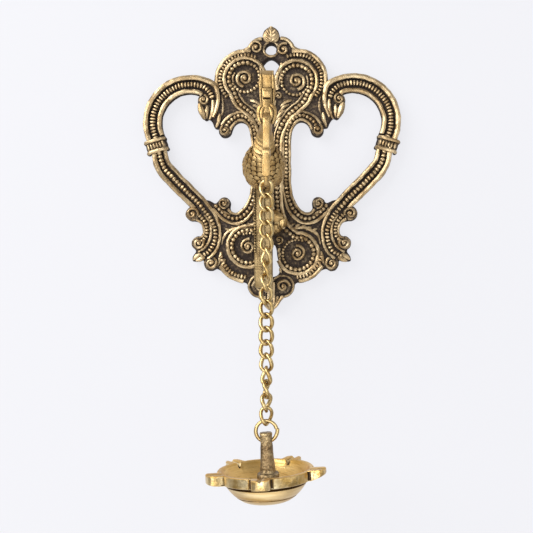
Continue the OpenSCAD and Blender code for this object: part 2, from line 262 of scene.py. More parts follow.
def beads(bm, path, radius, gap, wide=1.0, tall=1.0, long=1.0, up=OUT):
    """Sets domes of few faces along a path. A wide one is a rib across the path."""
    row = bmesh.new()
    shape = Matrix.Diagonal((radius * wide * MM, radius * tall * MM, radius * long * MM, 1))
    for m in frames(spread(path, gap), up):
        bmesh.ops.create_uvsphere(row, u_segments=8, v_segments=5, radius=1, matrix=m @ shape)
    copy_into(bm, row)


def roughen(bm, size_mm, step_mm):
    """Moves each point a little, as a mould pressed by hand does. The flat back stays flat."""
    for v in bm.verts:
        if v.co.y < -1.5 * MM:
            v.co += noise.noise_vector(v.co / (step_mm * MM)) * size_mm * MM


def finish_piece(bm, name, material, body, *nodes, slot=None, sharp=40, more=()):
    """Turns a bmesh into a smooth-shaded piece that rides a body and may stand for CAD nodes."""
    mesh = bpy.data.meshes.new(name)
    bm.to_mesh(mesh)
    bm.free()
    mesh.shade_smooth()
    mesh.set_sharp_from_angle(angle=radians(sharp))
    for each in (material, *more):
        mesh.materials.append(each)
    piece = bpy.data.objects.new(name, mesh)
    scene.collection.objects.link(piece)
    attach(piece, body)
    if nodes:
        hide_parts(*nodes)
    print(name, len(mesh.polygons), "faces")
    return piece


# %% [markdown]
# ## Brass
# All the metal but the screw's is brass, and each piece was finished its own way. The plate was left to go
# black and then rubbed, so its recesses are dark and its high places bright. The node that measures how shut in
# a point is stands for the rag that couldn't reach, the height over the wall does the same for the flat ground,
# and fine noise breaks the edge of the patina. On the bowl the same node reaches several millimetres, so there
# it paints shade into the hollow and under the rim.

# %% Rubbed metals
def metal(name, dark, middle, bright, reach_mm, rough, grain_mm, bump, patina, heights_mm=None, blotch=0.4,
          dent_mm=0.3, turned=False):
    """Rubbed metal: dark where it is shut in or low, bright where it stands free, with a cast or turned grain."""
    material, tree = new_material(name)
    where = put(tree, "TexCoord").outputs["Object"]
    # a lathe draws its marks out round the axis
    stretch, cloud_mm = ((0.1, 0.1, 1), 2.5) if turned else ((1, 1, 1), 6)
    drawn = put(tree, "Mapping", {"Vector": where, "Scale": stretch}).outputs[0]
    grain = put(tree, "TexNoise", {"Vector": drawn, "Scale": 1 / (grain_mm * MM), "Detail": 4, "Roughness": 0.6})
    cloud = put(tree, "TexNoise", {"Vector": drawn, "Scale": 1 / (cloud_mm * MM), "Detail": 3})
    free = put(tree, "AmbientOcclusion", {"Distance": reach_mm * MM}, samples=6, only_local=True).outputs["AO"]
    if heights_mm:
        out = put(tree, "SeparateXYZ", {"Vector": where}).outputs["Y"]
        high = put(tree, "MapRange", {"Value": out, "From Min": -heights_mm[0] * MM, "From Max": -heights_mm[1] * MM})
        free = put(tree, "Math", {0: free, 1: high.outputs[0]}, operation="MULTIPLY").outputs[0]
    worn = put(tree, "Math", {0: grain.outputs["Fac"], 1: blotch, 2: -blotch / 2}, operation="MULTIPLY_ADD")
    rub = put(tree, "Math", {0: free, 1: worn.outputs[0]}, operation="ADD")
    share = put(tree, "MapRange", {"Value": rub.outputs[0], "From Min": patina[0], "From Max": patina[1]},
                interpolation_type="SMOOTHSTEP").outputs[0]
    tint = put(tree, "MapRange", {"Value": cloud.outputs["Fac"], "From Min": 0.35, "From Max": 0.7})
    rubbed = put(tree, "Mix", {0: tint.outputs[0], 6: linear(middle), 7: linear(bright)}, data_type="RGBA")
    colour = put(tree, "Mix", {0: share, 6: linear(dark), 7: rubbed.outputs[2]}, data_type="RGBA")
    shine = put(tree, "MapRange", {"Value": share, "To Min": min(1, rough + 0.3), "To Max": rough})
    metallic = put(tree, "MapRange", {"Value": share, "To Min": 0.8, "To Max": 1.0})
    relief = put(tree, "Bump", {"Height": grain.outputs["Fac"], "Strength": bump, "Distance": dent_mm * MM})
    skin = put(tree, "BsdfPrincipled", {"Base Color": colour.outputs[2], "Metallic": metallic.outputs[0],
                                        "Roughness": shine.outputs[0], "Normal": relief.outputs[0]})
    put(tree, "OutputMaterial", {"Surface": skin.outputs[0]})
    return material


# cast in sand, blackened all over and rubbed bright on the high places
antique_brass = metal("antique_cast_brass", "#372e29", "#a48a63", "#d0ba93", reach_mm=2.0, rough=0.45,
                      grain_mm=1.1, bump=0.6, patina=(0.15, 0.95), heights_mm=(4.25, 5.9), blotch=1.0)
# cast and brushed by hand
satin_brass = metal("satin_cast_brass", "#43311f", "#a08150", "#c3a774", reach_mm=1.6, rough=0.45,
                    grain_mm=0.8, bump=0.5, patina=(0.35, 0.95), blotch=0.7)
# the same casting where no brush went
dull_brass = metal("dull_cast_brass", "#2f241a", "#7d6745", "#b39c70", reach_mm=1.6, rough=0.45,
                   grain_mm=0.9, bump=0.6, patina=(0.35, 1.0), blotch=1.0)
# wire drawn through a die, then bent
wire_brass = metal("drawn_brass_wire", "#46341a", "#a88c58", "#cfb987", reach_mm=0.9, rough=0.33,
                   grain_mm=0.4, bump=0.15, patina=(0.35, 0.85))
# turned on a lathe, so its marks run round; its long reach darkens the belly under the overhanging rim and in its
# turned grooves, which is painted shade
turned_brass = metal("turned_brass", "#4a3418", "#b8924f", "#e2cda0", reach_mm=5, rough=0.34, grain_mm=0.7,
                     bump=0.4, patina=(0.4, 1.0), blotch=0.7, dent_mm=0.15, turned=True)
# turned, then stained by oil and heat; its long reach also darkens the whole hollow, which is painted shade inside
# the bowl over the real oil stain
oiled_and_shaded_brass = metal("oil_stained_and_painted_shade_brass", "#6a481e", "#c99d50", "#eac784", reach_mm=6, rough=0.36, grain_mm=0.5,
                    bump=0.8, patina=(0.2, 1.0), blotch=1.8, dent_mm=0.2, turned=True)
# painted shade: near-black brass for the concave corners beside the spouts' necks and the unlit side of two wick
# grooves
painted_shade_brass = metal("painted_shade_brass", "#241a12", "#47382a", "#5e4c38", reach_mm=1.0, rough=0.65, grain_mm=0.6,
                    bump=0.4, patina=(0.4, 1.0))
# filed by hand in broad strokes
filed_brass = metal("hand_filed_brass", "#4a3418", "#b89657", "#efdcae", reach_mm=1.2, rough=0.3, grain_mm=2.6,
                    bump=0.9, patina=(0.3, 0.8), blotch=0.9, dent_mm=0.5)
# as it left the sand
rough_brass = metal("rough_cast_brass", "#2f231a", "#715b3f", "#b49e76", reach_mm=1.2, rough=0.38,
                    grain_mm=1.3, bump=0.9, patina=(0.45, 1.15), blotch=1.6, dent_mm=0.5)
# steel wire, headed cold and slotted
steel = metal("screw_steel", "#3a3a3a", "#8a8a88", "#a6a6a4", reach_mm=0.8, rough=0.35, grain_mm=0.5, bump=0.1,
              patina=(0.2, 0.6))
print("nine brasses and a steel")

# %% [markdown]
# ## Ground of the plate
# The plate is one casting with a flat back. Its ground is drawn here as half an outline, mirrored. The two
# openings, the nail hole and a hole for the screw's head are cut out of it. Filling the lines, lifting the face
# and insetting it twice gives the ground its thickness and a soft edge, as a worn casting has.

# %% Ground of the plate
half_edge = [(0, 11), (1.7, 10.5), (3.4, 8.9), (4.1, 6.8), (4.3, 5.6), (6.6, 5.2), (9.2, 3.6), (11.4, 0.9),
             (14.6, -0.5), (18.4, -1.7), (22, -4.1), (24.8, -7.6), (26.4, -11.6), (26.7, -15.4), (27.4, -18.4),
             (30, -20.6), (33.4, -21.2), (35, -24), (34.4, -26.8), (33.4, -28.6), (33, -31.4), (31.4, -33.2),
             (29.6, -32.6), (28, -34.4), (26.8, -37), (25, -37.4), (24.9, -39.4), (23.4, -41.2), (21.2, -41.3),
             (19.4, -40.1), (18.6, -38), (17.7, -36), (16.1, -34.6), (14.2, -34.2), (12.2, -34.9), (10.6, -36.9),
             (9.6, -40), (9.3, -44), (9.3, -50), (9.3, -56), (9.3, -62), (9.4, -66), (10, -70), (11.4, -73.6),
             (13.6, -76.4), (16.2, -77.6), (18.4, -77.1), (19.6, -75.4), (19.4, -72.6), (20.7, -70.5), (22.8, -70.1),
             (24.8, -71.2), (26.4, -73), (29.4, -71.6), (33, -71.4), (36, -74), (39.4, -74.9), (40.8, -77.8),
             (39.2, -80.8), (36.2, -81.5), (33.7, -82.3), (32.2, -84.4), (31.8, -86.8), (32.7, -88.7), (35.4, -88.5),
             (37.6, -90.6), (37.7, -93.4), (35.8, -95.6), (37.5, -98.4), (37.3, -100.6), (34.6, -100.5),
             (32.3, -100.2), (31.9, -102.6), (30.6, -104.7), (28.2, -105.2), (25.8, -104.2), (23, -105.6),
             (19.6, -108.4), (15.6, -110.4), (11.8, -111), (10.8, -113.4), (9.4, -115.8), (7, -117.2), (4.4, -119),
             (2.6, -121.7), (1, -123.8), (0, -124.4)]


def mirrored(half):
    """A right half, listed from top to bottom, closed by its mirror image."""
    return list(half) + [(-x, z) for x, z in reversed(half) if x > 0]


def draw(bm, points):
    """Draws a closed line of edges through points in millimetres."""
    dots = [bm.verts.new(Vector(p) * MM) for p in points]
    return [bm.edges.new((a, b)) for a, b in zip(dots, dots[1:] + dots[:1])]


web = bmesh.new()
lines = []
for shape in (half_edge, [(0, -4.2), (2.4, -5.4), (4.2, -8), (4.1, -11), (3.1, -15.4), (1.6, -19), (0, -19.8)],
              [(0, -92.6), (2, -93.4), (2.9, -98), (3.9, -103), (3.6, -106.4), (1.6, -107.8), (0, -108)]):
    lines += draw(web, curve([(x, 0, z) for x, z in mirrored(shape)], 0.8, closed=True)[:-1])
nail_r, head_r, screw_z = 2.75, 4.2, -82
for r, z in ((nail_r, 0), (head_r, screw_z)):
    lines += draw(web, [(r * cos(tau * k / 32), 0, z + r * sin(tau * k / 32)) for k in range(32)])
bmesh.ops.triangle_fill(web, use_beauty=True, use_dissolve=False, edges=lines)
lifted = bmesh.ops.extrude_face_region(web, geom=web.faces[:])["geom"]
top = [g for g in lifted if isinstance(g, bmesh.types.BMFace)]
slab_t = 3.5
bmesh.ops.translate(web, vec=(0, -slab_t * MM, 0), verts=verts_of(lifted))
bmesh.ops.recalc_face_normals(web, faces=web.faces)
soft_edge = ((0.35, 0.75), (0.75, 0.45))
for inward, rise in soft_edge:
    bmesh.ops.inset_region(web, faces=top, use_boundary=True, use_even_offset=True,
                           thickness=inward * MM, depth=rise * MM)
ground = slab_t + sum(rise for inward, rise in soft_edge)
print("ground of the plate:", len(web.faces), "faces")

# %% [markdown]
# ## Scrolls, borders and beads
# Each scroll is a beaded band between two smooth ridges. It rises from the centre column, goes once round its
# lobe and runs into a curl. The two halves of this casting aren't quite alike: the right scrolls sit lower. So
# one half is a function of its scrolls' centres, and the left one is drawn with its own centres and mirrored.

# %% Upper lobes
def on_plate(points, out, gap=0.6):
    """A smooth path on the plate at one height."""
    return curve([(x, -out, z) for x, z in points], gap)


def swell(size):
    """A radius that grows from a fine end to a full middle and dies away again."""
    return lambda s: size * (0.3 + 0.7 * sin(pi * (0.15 + 0.8 * s)))


def ridge_on(bm, points, out, radius, **shape):
    """A ridge on the plate, its middle so far above the ground."""
    ridge(bm, on_plate(points, ground + out), radius, **shape)


def beads_on(bm, points, out, radius, gap, **shape):
    """A row of beads on the plate, their middles so far above the ground."""
    beads(bm, on_plate(points, ground + out), radius, gap, **shape)


def peg(bm, x, out, z, wall_r, free_r, depth, sides):
    """A cone that stands straight out from the wall, its middle at a distance from it."""
    bmesh.ops.create_cone(bm, cap_ends=True, segments=sides, radius1=wall_r * MM, radius2=free_r * MM,
                          depth=depth * MM, matrix=at_mm(x, -out, z) @ Matrix.Rotation(pi / 2, 4, "X"))


def strokes(bm, size, *lines, out=0.1):
    """Leaf veins: short ridges that swell and die away."""
    for line in lines:
        ridge_on(bm, line, out, swell(size), height=1.1)


def curl_on(bm, x, z, r, turns=1.3, start=0, hand=1, lift=0.0):
    """A low bed, a thick spiral that climbs a little toward its middle, and a ball."""
    bed = bmesh.new()
    low = ground - 0.1 + 0.9 * lift
    peg(bed, x, (low + 1) / 2, z, r, r * 0.9, low - 1, 28)
    copy_into(bm, bed)
    wire = 0.29 + 0.1 * r
    n = int(30 * turns)
    path = []
    for k in range(n + 1):
        s = k / n
        radius = (r - wire) * (1 - 0.82 * s ** 0.9)
        a = radians(start) + hand * tau * turns * s
        path.append(Vector((x + radius * cos(a), -(low + 0.5 + 0.5 * s), z + radius * sin(a))))
    ridge(bm, path, lambda s: wire * (1.1 - 0.25 * s), height=0.6 / wire + 0.75)
    ball = bmesh.new()
    bmesh.ops.create_uvsphere(ball, u_segments=12, v_segments=8, radius=r * 0.22 * MM,
                              matrix=at_mm(x, -(low + 1.3), z))
    copy_into(bm, ball)


def upper_scroll(bm, lobe):
    """The big scroll of an upper lobe, from the centre column round the lobe to its curl."""
    rim = (12.2, -14.8)
    ridge_on(bm, arc(rim, 13.8, 13.6, 100, -16), 0.1, 1.15)
    beads_on(bm, arc(rim, 11.9, 11.8, 112, -40), 0.75, 0.8, 1.6, wide=1.35, tall=1.4, long=0.92)
    beads_on(bm, [(2.8, -66), (2.8, -56), (2.8, -47), (3.4, -41), (5.3, -35.8), (8.3, -31.4), (12.1, -28),
                  (15.4, -25)] + arc(lobe, 7.7, 7.3, -44, 100), 0.75, 1.1, 2.05, tall=1.15)
    ridge_on(bm, [(4.7, -66), (4.7, -56), (4.7, -47), (5.4, -41.6), (7.1, -37), (10, -32.8), (13.8, -29.2),
                  (17.2, -26)] + arc(lobe, 9.9, 9.5, -42, 205), 0.3, 1.05, height=1.2)
    beads_on(bm, arc(lobe, 7.3, 6.2, 114, 335), 0.55, 0.88, 1.75, tall=1.15)
    ridge_on(bm, [(1.2, -60), (1.2, -47), (1.8, -41), (3.6, -35), (6.4, -30.6), (10.2, -27), (13.4, -24.2)]
             + arc(lobe, 5.9, 5.4, -46, 30), 0.1, 0.65, height=1.2)
    ridge_on(bm, [(4.9, -6.8), (5, -9.4), (4.7, -12), (3.7, -16), (2.2, -19.4), (0, -20.9)], 0, 0.75, height=1.2)
    strokes(bm, 0.95, [(9.8, -24.4), (7, -25.2), (4.4, -27.4)], [(8.6, -26.6), (6, -27.6), (3.4, -30.4)],
            [(7, -29), (4.8, -30.2), (2.4, -33.4)], [(5.4, -31.8), (3.4, -33.8), (1.4, -37)],
            [(2.2, -24.6), (1.2, -27), (0.4, -30)])
    curl_on(bm, *lobe, 4.9, turns=1.6, start=-80, lift=0.25)


# %% Arches beside the centre column
def arches(bm):
    """The beaded bands that frame the heart openings, above and below."""
    frames_of_hearts = (
        ([(8.8, -66), (8.7, -56), (8.7, -46), (9.1, -40.4), (10.3, -36.6), (12.3, -34.3), (14.2, -33.5),
          (16.4, -34.1), (18.4, -36.1), (19.4, -38.4)], 0.75),
        ([(5.7, -66), (5.7, -56), (5.7, -46), (6.2, -39.6), (7.7, -34.6), (10.7, -31), (14.4, -29.9),
          (18.2, -30.9), (21.4, -33.2), (23.4, -35.8)], 0.8),
        ([(8.8, -64), (9.1, -67), (9.9, -70.6), (11.7, -74.2), (14, -76.9), (16.4, -78.2), (18.8, -77.6),
          (20.4, -75.8)], 0.8),
        ([(5.7, -64), (5.9, -68), (7, -73), (9.3, -77.9), (12.8, -81.4), (17, -82.6), (21.8, -81.3), (25.2, -78.4),
          (27.6, -75.6)], 0.9))
    for line, radius in frames_of_hearts:
        ridge_on(bm, line, 0.15, radius, height=1.3)
    beads_on(bm, [(7.2, -66), (7.2, -56), (7.2, -46), (7.6, -40), (9, -35.6), (11.4, -32.7), (14.4, -31.7),
                  (17.2, -32.5), (19.6, -34.3), (21, -36.2)], 0.75, 0.95, 1.85, tall=1.2)
    beads_on(bm, [(7.2, -64), (7.5, -67.4), (8.5, -72), (10.6, -76.1), (13.4, -79.2), (17, -80.4), (20.6, -79.4),
                  (23.6, -76.8), (26, -74.4)], 0.75, 1.0, 1.95, tall=1.2)


# %% Lower scrolls and the pointed foot
def lower_scroll(bm, foot):
    """The scroll of a foot, its border, and the tip of the plate."""
    rim = (11.5, -95.4)
    ridge_on(bm, [(4.7, -64), (4.8, -71), (5.6, -77), (7.6, -82.4)] + arc(foot, 9.9, 9.5, 92, -160), 0.3, 1.05,
             height=1.2)
    beads_on(bm, [(2.8, -64), (2.9, -71), (3.6, -78), (5.4, -84)] + arc(foot, 7.7, 7.6, 100, -130), 0.75, 1.12, 2.1,
             tall=1.15)
    ridge_on(bm, [(1.1, -64), (1.1, -72), (1.6, -79), (2.6, -85.6)], 0.1, 0.7, height=1.2)
    beads_on(bm, arc(foot, 7.2, 6.3, -145, -290), 0.55, 0.8, 1.6, tall=1.15)
    curl_on(bm, *foot, 4.4, turns=1.6, start=100, hand=-1, lift=0.25)
    beads_on(bm, arc(rim, 12.6, 12.6, -14, -86), 0.55, 0.85, 1.65, wide=1.4, tall=1.3, long=0.95)
    ridge_on(bm, arc(rim, 14.5, 14.6, -30, -84), -0.1, 1.1, height=1.1)
    strokes(bm, 1.0, [(9, -85.2), (14, -84.6), (18.6, -85.6), (22.2, -88.4), (23.4, -92.6)],
            [(23.6, -96), (24.4, -100), (25.6, -103)], [(21.8, -99.4), (23, -102.2), (23.6, -104.4)])
    strokes(bm, 0.85, *([(6.2 + 2.6 * k, -84.4 - 0.1 * k * k), (7.2 + 2.6 * k, -83.2 - 0.1 * k * k),
                         (8.8 + 2.6 * k, -82.6 - 0.1 * k * k)] for k in range(6)))
    strokes(bm, 0.8, *([(4.2 + 0.25 * k, -94.2 - 2.2 * k), (3.6 + 0.2 * k, -95.6 - 2.2 * k),
                        (4 + 0.2 * k, -97.2 - 2.2 * k)] for k in range(5)))
    curl = (5.5, -112.3)
    ridge_on(bm, arc(curl, 5.0, 5.0, -95, 190), -0.1, 0.7, height=1.2)
    curl_on(bm, *curl, 4.0, start=0, lift=0.4)
    for line, size in (([(0.9, -110.4), (1, -114), (1.2, -117), (1.2, -120.4), (0.4, -123.4)], 1.2),
                       ([(5.6, -117.3), (4.2, -119), (2.6, -121.4), (0.9, -123.4)], 0.9),
                       ([(3.2, -117.2), (2.7, -119), (1.9, -121.4)], 0.8)):
        ridge_on(bm, line, 0.3, lambda s, w=size: w * (1 - 0.5 * s), height=1.1)


# %% Fringe and leaves
def fringe(bm):
    """Ribbed bands and pointed leaves along the plate's outer edge."""
    for line, size, step in (([(33.6, -79), (31.2, -82), (30.4, -85.4), (30.9, -88.8), (32.8, -91)], 0.78, 1.5),
                             ([(33.2, -74.6), (29.2, -79.4), (27, -84), (26.4, -88), (27.2, -92.2), (29.4, -95.8),
                               (33, -98)], 0.86, 1.65)):
        beads_on(bm, line, 0.8, size, step, wide=1.35, tall=1.3, long=0.95)
    for line in ([(35.4, -80.4), (33, -82.2), (31.9, -84.6), (31.7, -87), (32.6, -88.8), (34.2, -89.4)],
                 [(31.4, -78.6), (29, -82.2), (28.6, -86.6), (29, -90), (31, -93.6), (34.6, -96.2)]):
        ridge_on(bm, line, 0.25, 0.75, height=1.3)
    strokes(bm, 1.2, [(33.4, -97.2), (35, -98), (37, -99.8)], [(31.6, -98.6), (33.6, -99.6), (35.8, -100.4)], out=0.3)
    strokes(bm, 1.6, [(33.9, -25.6), (33, -29), (31.6, -33)], out=0.3)
    strokes(bm, 1.1, [(27.6, -24), (27.5, -27.6), (28.2, -31), (29.4, -33.2)],
            [(30.4, -26.6), (30.6, -29.6), (30.6, -32.6)], [(24.4, -30.4), (24.9, -33.8), (26, -37.2)])
    strokes(bm, 0.8, [(23.7, -21), (22.9, -25), (22.9, -29), (24, -32.6)], out=-0.2)
    strokes(bm, 1.0, [(25.4, -75.2), (22.4, -77.4), (19, -78.6)])
    ridge_on(bm, [(4.4, 4.9), (6.8, 4.4), (9.1, 2.8), (10.6, 0.5), (13.4, -0.9)], -0.1, 1.05)
    ridge_on(bm, arc((0, 0), 3.5, 3.5, -92, 92), -0.1, 0.7)
    strokes(bm, 0.62, *([(0.4, z), (1.6, z + 0.9), (3.9 - 0.3 * z, z + 2.2)] for z in (3.4, 5.2, 7)), out=1.1)
    small_curls = ((3.4, -22.3, 2.4, 200, -1, 0.0), (32.1, -24.0, 3.0, 100, 1, 0.6), (21.8, -38.4, 3.0, 60, -1, 0.6),
                   (22.4, -73, 3.0, 250, 1, 0.6), (37.4, -77.9, 3.6, 200, -1, 0.6), (34.5, -91.9, 3.4, 140, 1, 0.6),
                   (28.5, -101.4, 3.5, 120, 1, 0.6), (3.8, -90.3, 2.5, 250, 1, 0.0))
    for x, z, r, start, hand, lift in small_curls:
        curl_on(bm, x, z, r, start=start, hand=hand, lift=lift)


# %% [markdown]
# ## Side loops
# Each loop is a moulding: a smooth rim, a dark groove, a ribbed strip, a groove and a second rim, all on a
# rounded bed. The parts of the moulding are pulled along the loop, which is half an open heart. A collar hides
# the place where the round part meets the straight bar.

# %% Side loops
def side_loop(bm):
    """The open heart's outer side: the round moulding, the straight beaded bar and the collar between them."""
    loop = (38.5, -34.5)
    ridge(bm, on_plate(arc(loop, 18.1, 18.1, -30, 122) + [(27.2, -21.4), (27.4, -25)], 2.2, 0.9), 4.4, sides=12,
          height=0.52)
    inward = [(26.4, -17.4), (25.4, -20.6), (25.2, -24.4), (26, -28.6), (27.6, -32.2)]
    ridge(bm, on_plate(arc(loop, 21.2, 21.2, -24, 116) + inward, 5.1),
          lambda s: 1.4 - 0.6 * max(0, s - 0.75) / 0.25, height=1.15)
    ridge(bm, on_plate(arc(loop, 14.8, 14.8, -24, 108) + [(32.6, -21.6)], 5.0), 1.1, height=1.2)
    beads(bm, on_plate(arc(loop, 17.9, 17.9, -24, 112) + [(29.2, -20.2), (28, -22.6)], 5.65),
          0.76, 1.5, wide=1.8, tall=1.5, long=1.0)
    bar = [(54.3, -45.6), (53.2, -49), (51.9, -54), (49.4, -57.9), (45.5, -62), (41.5, -66), (37.4, -70),
           (33.2, -74.4)]
    ridge(bm, on_plate(bar, 2.2, 0.9), 3.5, sides=12, height=0.6)
    ridge(bm, on_plate([(56.6, -45.4), (55.7, -48.6), (54.6, -54.8), (51.7, -59.8), (47.8, -64), (43.8, -68.1),
                        (39.6, -72.2), (36.4, -75.4)], 4.9), lambda s: 1.4 - 0.25 * s, height=1.15)
    ridge(bm, on_plate([(51.6, -44.6), (50.6, -48), (49.2, -53), (46.9, -56.1), (43.1, -60.1), (39.1, -64.1),
                        (35.1, -68.1), (30.9, -72.5), (27.5, -77), (25.1, -82), (24.3, -87), (25, -92.4),
                        (27.2, -96.8), (30, -99.4)], 4.95), lambda s: 1.05 - 0.2 * s, height=1.2)
    beads(bm, on_plate(bar, 5.55), 0.98, 1.85, wide=1.25, tall=1.2)
    turn = Matrix.Translation((54.7, 0, -45.6)) @ Matrix.Rotation(radians(16), 4, "Y")
    axis = turn.to_3x3() @ Vector((0, 0, 1))
    collar = ((-4.6, 1.2), (-4.7, 4.2), (-3.6, 6), (0, 6.4), (3.6, 6), (4.7, 4.2), (4.6, 1.2))
    for shift, size, height, lower in ((-2.5, 0.9, 1.0, 0), (2.5, 0.9, 1.0, 0), (0, 0.5, 5, 0.9)):
        hoop = [turn @ Vector((x, lower - out, shift)) for x, out in collar]
        ridge(bm, curve(hoop), size, up=axis, height=height)
    beads(bm, [turn @ Vector((x, -6.3, 0)) for x in (-3.5, 3.5)], 0.6, 1.4, wide=2.6, tall=1.3)


# %% [markdown]
# The two halves are put on the ground, and a leaf on top of it. The whole casting is then made a little uneven.
# Nobody rubbed the back, so it keeps the skin that the mould left.

# %% Both halves
for name, lobe, foot, top_curl in (("right", (11.9, -15.5), (12.4, -96.8), (5.9, -0.5, 3.7)),
                                   ("left", (12.4, -13.9), (10.8, -93.6), (7.2, 0.6, 3.8))):
    half = bmesh.new()
    upper_scroll(half, lobe)
    arches(half)
    lower_scroll(half, foot)
    fringe(half)
    side_loop(half)
    curl_on(half, *top_curl, start=60, lift=0.2)
    if name == "left":
        bmesh.ops.scale(half, vec=(-1, 1, 1), verts=half.verts)
    print(name, "half of the relief:", len(half.faces), "faces")
    copy_into(web, half)

# %% Leaf finial, back and finish
ridge_on(web, [(0, 3.2), (0, 5), (0, 8), (0, 10.8)], 0.3, lambda s: 4.0 * sin(pi * (0.26 + 0.7 * s)), sides=16,
         height=0.3)
ridge_on(web, [(0, 3.4), (0, 7), (0, 10.4)], 1.35, swell(0.5))
roughen(web, size_mm=0.22, step_mm=4)
roughen(web, size_mm=0.12, step_mm=1.2)
back_skin = 1.2
for face in web.faces:
    face.material_index = 1 if face.calc_center_median().y > -back_skin * MM else 0
finish_piece(web, "plate_casting", antique_brass, "bracket", "wall_plate", slot="plate_brass", more=(rough_brass,))

# %% [markdown]
# ## Bird
# The arm is a bird seen from the front: a scaled, egg-shaped body, folded wings, a ringed neck, a small head with
# a stepped crest, and a long flat tail down the plate. Under the beak a stem carries the eye for the chain.
# The body is a stretched sphere with rows of small overlapping scales, which catch the light as cut feathers do.

# %% Body and feathers
bird = bmesh.new()


def egg(bm, centre, size, turn=Matrix(), u=32, v=20):
    """A stretched sphere, its place and half-sizes in millimetres."""
    part = bmesh.new()
    place = at_mm(*centre) @ turn @ Matrix.Diagonal((*(s * MM for s in size), 1))
    bmesh.ops.create_uvsphere(part, u_segments=u, v_segments=v, radius=1, matrix=place)
    copy_into(bm, part)


def on_egg(size, lat, a):
    """A point of a stretched sphere, from its middle, by latitude and turn."""
    return Vector((size[0] * cos(lat) * cos(a), size[1] * cos(lat) * sin(a), size[2] * sin(lat)))


body_at, body_size, wing_size = (-2.4, -27, -58.5), (8.8, 8.8, 11.0), (9.4, 9.5, 11.6)
tilt = Matrix.Rotation(radians(46), 4, "X")
egg(bird, body_at, body_size, tilt, 40, 28)
scales = bmesh.new()
for row in range(11):
    lat = radians(-66 + row * 11.2)
    count = max(8, round(54 * cos(lat) / 2.7))
    for k in range(count):
        a = tau * (k + 0.5 * (row % 2)) / count
        point = on_egg(body_size, lat, a)
        normal = Vector([p / s ** 2 for p, s in zip(point, body_size)]).normalized()
        across = Vector((-sin(a), cos(a), 0))
        lay = Matrix((across, normal.cross(across), normal)).transposed().to_4x4()
        place = (at_mm(*body_at) @ tilt @ at_mm(*point) @ lay
                 @ Matrix.Rotation(radians(20), 4, "X") @ Matrix.Diagonal((1.5 * MM, 1.8 * MM, 0.7 * MM, 1)))
        bmesh.ops.create_uvsphere(scales, u_segments=8, v_segments=5, radius=1, matrix=place)
copy_into(bird, scales)
for side in (-1, 1):
    wing = bmesh.new()
    egg(wing, body_at, wing_size, tilt, 40, 28)
    edge = Vector(body_at) + Vector((side * 5.2, -2, 0))
    bmesh.ops.bisect_plane(wing, geom=wing.verts[:] + wing.edges[:] + wing.faces[:], plane_co=edge * MM,
                           plane_no=(-side * 0.86, -0.42, 0.28), clear_outer=True)
    bmesh.ops.holes_fill(wing, edges=[e for e in wing.edges if e.is_boundary])
    copy_into(bird, wing)
    for k in range(4):
        line = []
        for t in range(7):
            lat, a = radians(34 - 17 * t), radians(90 - side * 90 + side * (24 - 20 * k + 2 * t))
            line.append(Vector(body_at) + tilt @ on_egg([s - 0.1 for s in wing_size], lat, a))
        ridge(bird, curve(line), swell(0.5), up=Vector((side, 0, 0)))
print("body and wings:", len(bird.faces), "faces")

# %% [markdown]
# The neck is pulled along its curve with a radius that swells at four rings. The crest, the stem and the tail
# are flat shapes: a side view is filled, pushed to its width, and its edges are rounded.

# %% Neck, head and crest
def neck_radius(s):
    """Thins toward the head, with four turned rings near the body."""
    rings = sum(h * exp(-((s - at) / 0.032) ** 2) for at, h in ((0.14, 1.3), (0.24, 1.2), (0.34, 1.0), (0.44, 0.8)))
    return 2.6 + 2.0 * exp(-s / 0.22) + rings


def round_off(bm, edges, size_mm, steps=3):
    """Rounds edges, as a file or a soft mould does."""
    bmesh.ops.bevel(bm, geom=edges, offset=size_mm * MM, segments=steps, profile=0.5, affect="EDGES", material=-1)


def slab(bm, outline, x0, x1, round_mm=0.4):
    """A side view, as distances out of the wall and heights, pushed from x0 to x1, with rounded edges."""
    part = bmesh.new()
    edges = draw(part, [(x0, -out, z) for out, z in outline])
    face = bmesh.ops.contextual_create(part, geom=edges)["faces"]
    new = bmesh.ops.extrude_face_region(part, geom=face)["geom"]
    bmesh.ops.translate(part, vec=((x1 - x0) * MM, 0, 0), verts=verts_of(new))
    round_off(part, part.edges[:], round_mm)
    copy_into(bm, part)


ridge(bird, curve([(-2.3, -32.4, -53.2), (-1.9, -37, -49.6), (-1.2, -43, -46.2), (-0.5, -49, -43.2),
                   (0, -54, -41)], 0.3), neck_radius, sides=24, up=ACROSS)
egg(bird, (0, -54, -41.2), (3.1, 4.0, 4.0))
ridge(bird, curve([(0, -54, -41), (0, -57.4, -42.4), (0, -60.2, -44.4)]), lambda s: 2.7 - 1.0 * s, sides=16,
      up=ACROSS)
for side in (-1, 1):
    for line, size in (([(1.3, -56.6, -36.6), (2.7, -56.8, -38.4), (3.1, -56.4, -41.4), (2.2, -57, -45)], 1.25),
                       ([(1.3, -58, -38.4), (2, -58.2, -40.2), (1.9, -58.4, -42.4), (1.2, -58.8, -44)], 0.8)):
        ridge(bird, curve([(side * x, y, z) for x, y, z in line]), swell(size))
    ridge(bird, curve([(side * 2.45, -54.6, -30), (side * 2.5, -55.5, -25.2), (side * 2.4, -53, -22.6)]), 0.45,
          up=ACROSS)
    for k in range(4):
        line = [(side * (2.3 + 0.2 * (k % 2)), -47.6 - 1.7 * k, -37 + 0.4 * k),
                (side * 2.6, -48 - 1.7 * k, -32 + 0.5 * k), (side * 2.9, -47.2 - 1.8 * k, -27),
                (side * 2.6, -47.8 - 1.5 * k, -23.6)]
        ridge(bird, curve(line), swell(0.6), up=ACROSS)
slab(bird, [(47.4, -40), (46.6, -32), (48, -29.6), (55, -29.6), (56.4, -40)], -2.1, 2.1)
